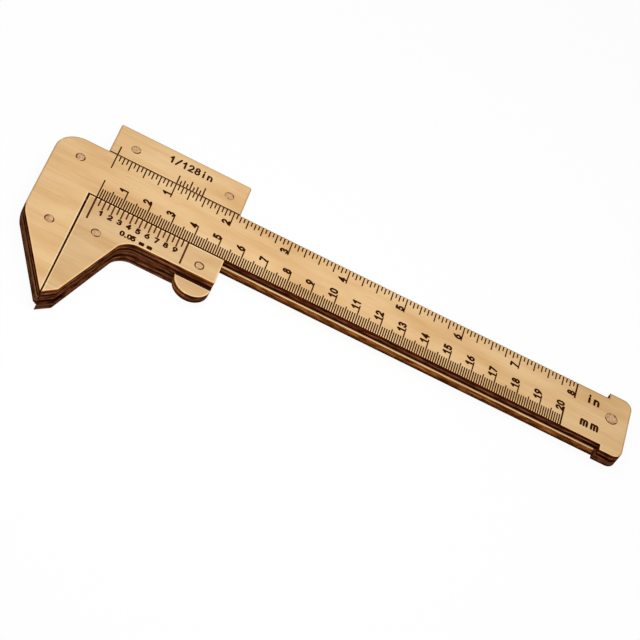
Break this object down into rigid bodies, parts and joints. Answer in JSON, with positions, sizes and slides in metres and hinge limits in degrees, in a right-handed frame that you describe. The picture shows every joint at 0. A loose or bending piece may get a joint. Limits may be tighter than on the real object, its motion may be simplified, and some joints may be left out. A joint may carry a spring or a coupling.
{
  "type": "vernier caliper",
  "caption": "Laser-cut plywood vernier caliper with a fixed jaw on a stepped beam and a three-layer slider that carries the moving jaw and two vernier scales.",
  "frame": {"origin": "zero of the millimetre scale, projected onto the plane that the slider's back rests on", "axes": "+X along the scales, from the jaws to the tail; +Y across the beam, from the millimetre scale to the inch scale; +Z out of the engraved face"},
  "size_m": [0.2509, 0.0986, 0.0104],
  "materials": {
    "plywood": "bare sanded birch plywood, laser-cut, with charred edges and engraving",
    "dowel": "bare beech dowel, end grain sanded flush"
  },
  "bodies": {
    "beam": {"beam_front": "plywood", "beam_back": "plywood", "head_dowel_upper": "dowel", "head_dowel_lower": "dowel", "tail_dowel": "dowel"},
    "slider": {"jaw_front": "plywood", "inch_plate": "plywood", "jaw_middle": "plywood", "upper_spacer": "plywood", "slider_back": "plywood", "jaw_dowel_left": "dowel", "jaw_dowel_right": "dowel", "upper_dowel_left": "dowel", "upper_dowel_right": "dowel"}
  },
  "joints": [
    {"name": "slider_travel", "type": "slide", "parent": "beam", "child": "slider", "axis": [1, 0, 0], "range_m": [0, 0.1628]}
  ]
}
